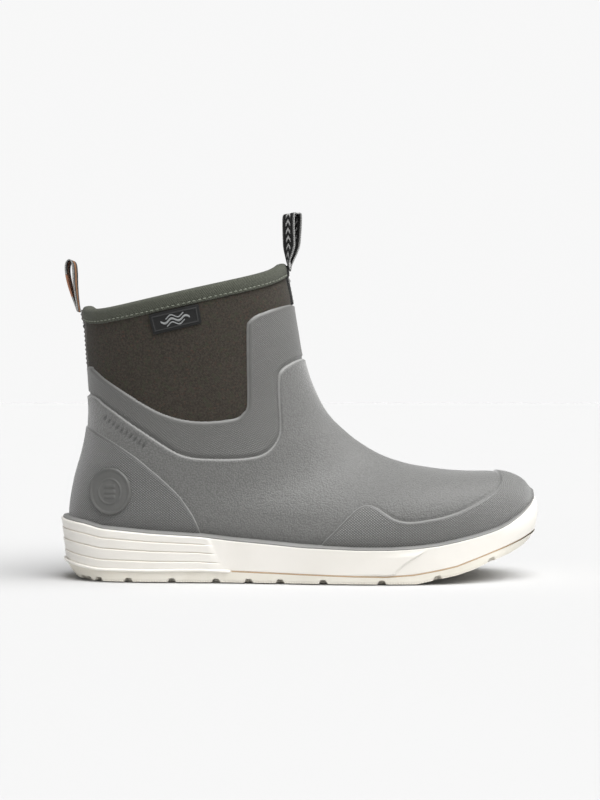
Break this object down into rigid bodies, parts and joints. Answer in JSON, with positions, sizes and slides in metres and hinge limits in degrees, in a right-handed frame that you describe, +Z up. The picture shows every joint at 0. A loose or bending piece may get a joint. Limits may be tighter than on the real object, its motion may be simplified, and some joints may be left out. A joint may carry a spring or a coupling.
{
  "type": "deck boot",
  "caption": "Mid-height slip-on deck boot: siped rubber cup sole, rubberised upper, neoprene shaft, taped collar and two webbing pull loops.",
  "frame": {"origin": "middle of the sole's plan box, on the floor", "axes": "+X toward the toe, +Z up, -Y toward the outer side of the right foot"},
  "size_m": [0.3072, 0.1106, 0.2359],
  "materials": {
    "outsole_rubber": "matte moulded, siped",
    "stripe_rubber": "matte moulded",
    "sidewall_rubber": "satin moulded",
    "welt_rubber": "matte moulded",
    "core_foam": "closed-cell foam",
    "board_fibre": "fibre board",
    "neoprene": "heathered knit face on neoprene",
    "lining_knit": "knitted",
    "band_rubber": "matte, fine dots",
    "upper_rubber": "matte pebble grain",
    "counter_rubber": "matte diamond knurl",
    "guard_rubber": "matte knurl",
    "emblem_rubber": "satin moulded",
    "label_rubber": "satin moulded",
    "label_mark_rubber": "satin moulded",
    "binding_twill": "twill tape",
    "seam_thread": "polyester thread",
    "strap_webbing": "woven webbing",
    "rear_strap_webbing": "woven webbing",
    "bartack_thread": "dense stitching",
    "front_loop_webbing": "woven webbing, light selvedge",
    "rear_loop_webbing": "woven webbing, brown stripe",
    "footbed_foam": "moulded foam",
    "footbed_textile": "knitted"
  },
  "bodies": {
    "boot": {"outsole": "outsole_rubber", "foxing_stripe": "stripe_rubber", "midsole_wall": "sidewall_rubber", "welt": "welt_rubber", "midsole_core": "core_foam", "insole_board": "board_fibre", "neoprene_bootie": "neoprene", "lining": "lining_knit", "ankle_band": "band_rubber", "vamp_shell": "upper_rubber", "heel_counter": "counter_rubber", "toe_guard": "guard_rubber", "heel_disc": "emblem_rubber", "side_label": "label_rubber", "label_mark": "label_mark_rubber", "topline_binding": "binding_twill", "binding_thread": "seam_thread", "front_strap": "strap_webbing", "rear_strap": "rear_strap_webbing", "front_bartack": "bartack_thread", "rear_bartack": "bartack_thread", "footbed": "footbed_foam", "footbed_cover": "footbed_textile"},
    "front_loop": {"front_pull_loop": "front_loop_webbing"},
    "rear_loop": {"rear_pull_loop": "rear_loop_webbing"}
  },
  "joints": [
    {"name": "front_loop_fold", "type": "hinge", "parent": "boot", "child": "front_loop", "pos_m": [-0.0064, 0, 0.1986], "axis": [0, 1, 0], "range_deg": [0, 100], "stiffness_Nm_per_rad": 0.004},
    {"name": "rear_loop_fold", "type": "hinge", "parent": "boot", "child": "rear_loop", "pos_m": [-0.1437, 0, 0.1718], "axis": [0, -1, 0], "range_deg": [0, 95], "stiffness_Nm_per_rad": 0.004}
  ]
}
